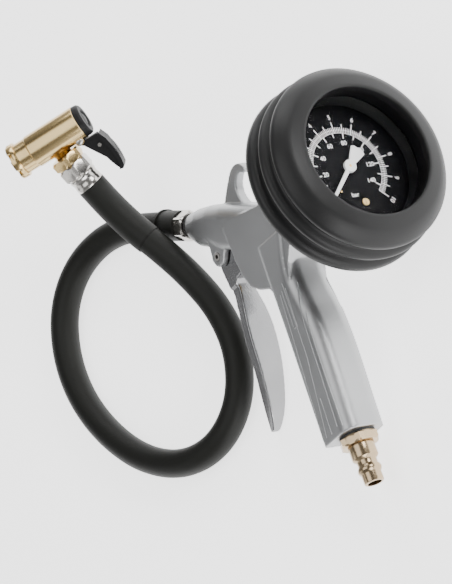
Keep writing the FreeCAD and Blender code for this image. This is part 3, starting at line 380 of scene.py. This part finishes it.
def make_fine_print():
    """The short ticks for tenths, and the two arcs."""
    shell = bmesh.new()
    for tenth in range(101):
        tick(shell, ZERO + SWEEP * tenth / 10, 18.9, 21.7, 0.34, FINE_PRINT_HEIGHT)
    steps = 160
    for inner in (18.6, 20.2):
        outer = inner + ARC_WIDTH
        for step in range(steps):
            low = ZERO + FULL_SWEEP * step / steps
            high = ZERO + FULL_SWEEP * (step + 1) / steps
            corners = ((low, inner), (low, outer), (high, outer), (high, inner))
            quad(shell, DIAL, [on_clock(angle, radius, 0, FINE_PRINT_HEIGHT) for angle, radius in corners])
    print_from("dial_fine_print", shell)


def make_dial_print():
    """Outer scale 0 to 10 over 270 degrees, inner scale 20 to 140."""
    make_bold_print()
    make_fine_print()
    for unit in range(11):
        angle = ZERO + SWEEP * unit
        lettering(str(unit), 3.3, on_clock(angle, OUTER_NUMERALS, 0, PRINT_HEIGHT), -math.radians(angle),
                  f"outer_numeral_{unit}")
    for step in range(1, 8):
        place = on_clock(inner_angle(20 * step), INNER_NUMERALS, 0, PRINT_HEIGHT)
        lettering(str(20 * step), 3.2, place, 0, f"inner_numeral_{step}")
    lettering("bar", 3.2, on_clock(184, 14.0, 0, PRINT_HEIGHT), 0, "unit_mark")


def make_boot():
    """The rubber boot, with every edge rounded: front flange, two grooves, three rings."""
    outline = [
        (17.5, 16.0), (17.5, 34.0), (16.9, 37.6), (15.4, 43.4), (14.4, 45.9), (13.1, 47.9),
        (11.6, 48.85), (10.0, 49.0), (8.5, 48.8), (7.3, 48.1), (6.5, 46.8), (5.9, 45.2), (5.0, 44.3),
        (4.1, 44.1), (3.2, 44.4), (2.3, 45.6), (1.6, 47.0), (0.6, 48.1), (-0.7, 48.5), (-1.4, 48.5),
        (-2.6, 48.1), (-3.6, 47.0), (-4.3, 45.5), (-5.2, 44.4), (-6.2, 44.1), (-7.2, 44.4),
        (-8.0, 45.4), (-8.8, 46.7), (-9.8, 47.4), (-11.2, 47.6), (-12.4, 47.3), (-13.5, 46.6),
        (-16.0, 44.8), (-18.5, 42.1), (-19.4, 40.3), (-19.7, 39.4), (-20.0, 38.7), (-20.8, 36.0),
        (-21.1, 34.9), (-21.15, 34.3), (-20.9, 33.8), (-20.3, 33.5), (-19.6, 33.45), (-10.05, 33.45),
        (-10.0, 40.0), (15.0, 40.0), (15.0, 16.0),
    ]
    matrix = DIAL @ Matrix.Rotation(math.pi, 4, "X")
    boot = piece_from("boot", lathe(outline, matrix, 160), "boot_rubber")
    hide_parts("rubber_boot")


# ---------------------------------------------------------------- gun
def softened(name, node, voxel, rounds, slot, body="gun"):
    """A CAD part remeshed and relaxed, so that its edges are rounded as a casting's are."""
    rough = bpy.data.objects.new(name + "_rough", NODES[node].data.copy())
    bpy.context.scene.collection.objects.link(rough)
    grid = rough.modifiers.new("grid", "REMESH")
    grid.mode = "VOXEL"
    grid.voxel_size = voxel * MM
    relax = rough.modifiers.new("relax", "SMOOTH")
    relax.factor = 0.5
    relax.iterations = rounds
    bpy.context.view_layer.update()
    mesh = bpy.data.meshes.new_from_object(rough.evaluated_get(bpy.context.evaluated_depsgraph_get()))
    bpy.data.objects.remove(rough)
    mesh.materials.clear()
    piece = piece_from(name, mesh, slot, body)
    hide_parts(node)
    return piece


def beads(name, paths, matrix, radius, slot, body="gun"):
    """Half-buried round lines along paths of points."""
    curve = bpy.data.curves.new(name, "CURVE")
    curve.dimensions = "3D"
    for path in paths:
        spline = curve.splines.new("POLY")
        spline.points.add(len(path) - 1)
        for point, place in zip(spline.points, path):
            point.co = (*(matrix @ Vector(place)), 1)
    curve.bevel_depth = radius * MM
    curve.bevel_resolution = 4
    curve.use_fill_caps = True
    line = bpy.data.objects.new(name, curve)
    mesh = bpy.data.meshes.new_from_object(line)
    bpy.data.objects.remove(line)
    return piece_from(name, mesh, slot, body)


# the raised lines of the grip, each as its corners (X, Z) in the gun's frame
GRIP_LINES = (
    ((70.2, -33), (71.4, -45), (78.2, -107)),
    ((65.6, -29), (66.2, -50), (67.0, -67), (74.7, -107)),
    ((58.2, -32), (59.5, -47), (60.6, -64), (61.5, -79), (63.5, -106)),
    ((57.4, -48), (58.3, -70), (60.0, -107)),
    ((68.0, -32), (68.9, -51.6), (65.7, -51.8), (64.5, -32)),
    ((68.6, -88.7), (69.7, -107.4)),
)


def traced(line, side, tree, sink):
    """A line drawn in the XZ plane of the gun, laid onto the surface on one side of it."""
    path = []
    inward = (GUN.to_3x3() @ Vector((0, -side, 0))).normalized()
    for (x, z), (next_x, next_z) in zip(line, line[1:]):
        for step in range(13):
            share = step / 12
            start = GUN @ Vector((x + (next_x - x) * share, side * 30, z + (next_z - z) * share))
            spot = tree.ray_cast(start, inward)[0]
            if spot is not None:
                path.append(GUN.inverted() @ (spot + inward * sink * MM))
    return path


def make_casting():
    """The casting, and on both sides of its grip the raised lines, laid onto its surface."""
    casting = softened("casting", "body_casting", 0.55, 5, "casting")
    tree = BVHTree.FromPolygons([vertex.co for vertex in casting.data.vertices],
                                [polygon.vertices for polygon in casting.data.polygons])
    lines = [traced(line, side, tree, 0.12) for line in GRIP_LINES for side in (1, -1)]
    beads("grip_lines", lines, GUN, 0.32, "casting")


def make_lever():
    softened("lever", "trigger_lever", 0.4, 24, "lever_alloy", "trigger")


# ---------------------------------------------------------------- turned and hexagon parts
def joined(name, meshes, slot, node):
    """One piece of the gun made of several meshes, standing for a CAD node."""
    shell = bmesh.new()
    for mesh in meshes:
        shell.from_mesh(mesh)
    whole = bpy.data.meshes.new(name)
    shell.to_mesh(whole)
    shell.free()
    piece = piece_from(name, whole, slot)
    edges = piece.modifiers.new("edges", "EDGE_SPLIT")
    edges.split_angle = math.radians(32)
    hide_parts(node)


def hex_mesh(matrix, flats, low, high, bore, chamfer=0.9):
    """A hexagon nut whose corners are turned off at both ends."""
    apothem = flats / 2
    corner = apothem / math.cos(math.pi / 6)
    profile = [(low, bore), (low, apothem * 0.98), (low + chamfer, corner), (high - chamfer, corner),
               (high, apothem * 0.98), (high, bore)]
    rings = []
    for station, limit in profile:
        ring = []
        for step in range(180):
            turn = math.tau * step / 180
            flat = apothem / math.cos((turn + math.pi / 6) % (math.pi / 3) - math.pi / 6)
            radius = min(limit, flat - 0.12 * (flat / corner) ** 12)
            ring.append((radius * math.cos(turn), radius * math.sin(turn), station))
        rings.append(ring)
    return recalculated(skinned(rings, matrix, closed=True))


def thread(low, high, root, crest, pitch):
    """The zigzag outline of a screw thread, drawn as rings."""
    outline = []
    count = max(1, round((high - low) / pitch))
    for turn in range(count):
        start = low + (high - low) * turn / count
        outline += [(start, root), (start + (high - low) / count / 2, crest)]
    return outline + [(high, root)]


CHUCK_END = 17.1


def chuck_tube():
    """The brass barrel's mesh, with the slot for the thumb lever cut through its lower side."""
    mouth, neck_end, end = -17.2, -10.5, CHUCK_END
    turned = lathe([(mouth, 6.5), (mouth, 7.9), (neck_end - 0.4, 7.9), (neck_end - 0.2, 8.1), (neck_end, 8.3),
                    (neck_end + 0.3, 8.4), (end - 0.3, 8.4), (end, 8.1), (end, 6.5)], BARREL, 160)
    barrel = piece_from("chuck_tube", turned, "chuck_brass")
    slot_box = skinned([[(6.2, side, -3), (15.2, side, -3), (15.2, side, -12), (6.2, side, -12)]
                        for side in (-2.6, 2.6)], CHUCK)
    shell = bmesh.new()
    shell.from_mesh(slot_box)
    bmesh.ops.holes_fill(shell, edges=shell.edges)
    bmesh.ops.recalc_face_normals(shell, faces=shell.faces)
    shell.to_mesh(slot_box)
    shell.free()
    cutter = bpy.data.objects.new("slot_cutter", slot_box)
    bpy.context.scene.collection.objects.link(cutter)
    cut = barrel.modifiers.new("slot", "BOOLEAN")
    cut.object = cutter
    bpy.context.view_layer.update()
    tube = bpy.data.meshes.new_from_object(barrel.evaluated_get(bpy.context.evaluated_depsgraph_get()))
    bpy.data.objects.remove(cutter)
    bpy.data.objects.remove(barrel)
    tube.materials.clear()
    return tube


def make_chuck():
    end = CHUCK_END
    pivot = CHUCK @ Matrix.Translation(THUMB_PIVOT) @ Matrix.Rotation(-math.pi / 2, 4, "X")
    ear = ((2.6, 1.0), (2.6, 2.2), (4.3, 2.2), (4.4, 2.1), (4.4, 1.0))
    ears = [lathe([(side * station, radius) for station, radius in ear], pivot, 48) for side in (1, -1)]
    joined("chuck_body", [chuck_tube()] + ears, "chuck_brass", "chuck_barrel")
    make_crown()
    cap = lathe([(15.7, 0.01), (15.7, 6.45), (end, 6.45), (end, 8.2), (18.9, 8.1), (19.8, 7.8), (20.4, 7.1),
                 (20.4, 5.0), (20.1, 4.6), (19.6, 4.4), (19.6, 3.2), (20.0, 2.9), (20.2, 2.2), (20.2, 0.01)],
                BARREL)
    joined("chuck_end_cap", [cap], "black_plastic", "chuck_cap")
    half_pin = [(4.4, 0.98), (4.4, 1.85), (4.8, 1.6), (5.0, 1.2), (5.0, 0.01)]
    other_half = [(-station, radius) for station, radius in reversed(half_pin)]
    joined("chuck_pin", [lathe(other_half + half_pin, pivot, 48)], "nickel", "thumb_pin")
    stem = lathe(thread(7.0, 9.8, 4.1, 4.7, 0.8) + [(15.0, 4.4), (22, 4.4), (22, 3.9), (36.4, 3.9),
                                                    (36.4, 2), (7, 2)], STEM, 96)
    joined("chuck_hexagon", [stem, hex_mesh(STEM, 15.4, 9.8, 15.0, 4.4)], "chuck_brass", "chuck_stem")
    joined("lock_nut", [hex_mesh(STEM, 15.2, 15.2, 22.0, 4.5)], "nickel", "swivel_nut")
    ferrule = lathe([(22, 3.92), (22, 6.9), (22.4, 7.25), (23.2, 7.45), (24.0, 7.2), (24.6, 7.05),
                     (26.4, 7.05), (26.8, 7.25), (29.0, 7.25), (29.4, 7.1), (29.4, 3.92)], STEM)
    joined("crimp_ferrule", [ferrule], "nickel", "hose_ferrule")
    make_thumb_serrations()


def make_thumb_serrations():
    """Ridges across the thumb pad, down its bulging back."""
    first, pitch, half_width = -9.8, 0.88, 4.5
    crest, crest_drop, bend = 24.98, 21.5, 0.0195
    ridges = []
    for step in range(22):
        drop = first - step * pitch
        bulge = crest - bend * (drop + crest_drop) ** 2
        ridges.append([(bulge, -half_width, drop), (bulge, half_width, drop)])
    beads("thumb_serrations", ridges, CHUCK, 0.3, "black_plastic", "thumb")


def make_crown():
    """The mouth ring, with six notches in its front edge."""
    back, front, notch = -17.2, -21.0, 1.8
    profile = ((back, 6.5, 0), (back, 9.0, 0), (back - 0.2, 9.1, 0), (front + 0.5, 9.1, 1),
               (front + 0.1, 8.9, 1), (front, 8.6, 1), (front, 6.9, 1), (front, 6.7, 0),
               (front, 4.6, 0), (front + 0.5, 4.15, 0), (-13.0, 4.15, 0), (-13.0, 6.5, 0))
    rings = []
    for station, radius, notched in profile:
        ring = []
        for step in range(180):
            turn = math.tau * step / 180
            aside = (turn + math.pi / 6) % (math.pi / 3) - math.pi / 6
            dip = notch * notched * (abs(aside) < math.radians(12.5))
            ring.append((radius * math.cos(turn), radius * math.sin(turn), station + dip))
        rings.append(ring)
    crown = recalculated(skinned(rings, BARREL, closed=True))
    joined("chuck_crown", [crown], "chuck_brass", "chuck_mouth")


def make_inlet():
    """The quick-coupling plug; its outline is in stations down from the foot of the grip."""
    foot = aimed(GUN, Vector((67.0, 0, -110.4)), (0, 0, -1))
    stem = lathe([(-12.0, 3.6), (-12.0, 6.4), (5.6, 6.5), (5.6, 6.4), (5.9, 6.6), (12.2, 6.6),
                  (12.6, 6.4), (13.8, 5.1), (14.2, 5.0), (16.0, 5.0), (16.4, 5.1), (17.5, 5.8),
                  (18.1, 6.0), (18.9, 6.0), (19.5, 5.8), (20.4, 5.1), (20.8, 5.0), (24.9, 5.0),
                  (25.4, 4.8), (25.6, 4.4), (25.6, 3.6)], foot)
    nut = hex_mesh(foot, 18.5, 1.0, 5.6, 6.4, 0.8)
    joined("inlet_connector", [stem, nut], "plug_brass", "inlet_plug")


def make_gun_end():
    """The nut where the hose meets the nose of the barrel."""
    slope = math.radians(25)
    nose = aimed(GUN, Vector((133.0, 0, 32.0)), (math.cos(slope), 0, math.sin(slope)))
    joined("gun_hose_nut", [hex_mesh(nose, 13.6, 2.4, 9.6, 5.45)], "nickel", "hose_nut")


# ---------------------------------------------------------------- hose
# the route that the CAD hose follows, in metres
HOSE_ROUTE = [
    (0.0740, -0.0791, 0.0121),
    (0.0945, -0.0888, 0.0070),
    (0.1215, -0.0982, 0.0070),
    (0.1465, -0.0930, 0.0070),
    (0.1632, -0.0770, 0.0070),
    (0.1695, -0.0540, 0.0070),
    (0.1670, -0.0290, 0.0070),
    (0.1555, -0.0040, 0.0070),
    (0.1370, 0.0180, 0.0070),
    (0.1135, 0.0310, 0.0070),
    (0.0890, 0.0305, 0.0070),
    (0.0705, 0.0155, 0.0070),
    (0.0640, -0.0085, 0.0070),
    (0.0670, -0.0320, 0.0096),
    (0.0755, -0.0528, 0.0144),
    (0.0845, -0.0700, 0.0204),
    (0.0922, -0.0840, 0.0276),
]
HOSE_DIAMETER = 0.014


def nurbs(name, points, radius):
    curve = bpy.data.curves.new(name, "CURVE")
    curve.dimensions = "3D"
    spline = curve.splines.new("NURBS")
    spline.points.add(len(points) - 1)
    for point, place in zip(spline.points, points):
        point.co = (*place, 1)
    spline.order_u = 3
    spline.use_endpoint_u = True
    spline.resolution_u = 24
    curve.bevel_depth = radius
    curve.bevel_resolution = 12
    curve.use_fill_caps = True
    return curve


def make_hose():
    """The hose along its route, which ends with a straight run into the chuck's ferrule."""
    end = STEM @ Vector((0, 0, 29.4))
    before_end = STEM @ Vector((0, 0, 43.4))
    route = HOSE_ROUTE + [tuple(before_end), tuple(end)]
    curve = nurbs("hose", route, HOSE_DIAMETER / 2)
    hose = bpy.data.objects.new("hose", curve)
    bpy.context.scene.collection.objects.link(hose)
    curve.materials.append(MATERIALS["hose_rubber"])
    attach(hose, "gun")
    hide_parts("air_hose")


make_camera()
make_floor()
make_lights()
dress_cad_nodes()
make_boot()
make_dial_print()
make_casting()
make_lever()
make_chuck()
make_inlet()
make_gun_end()
make_hose()
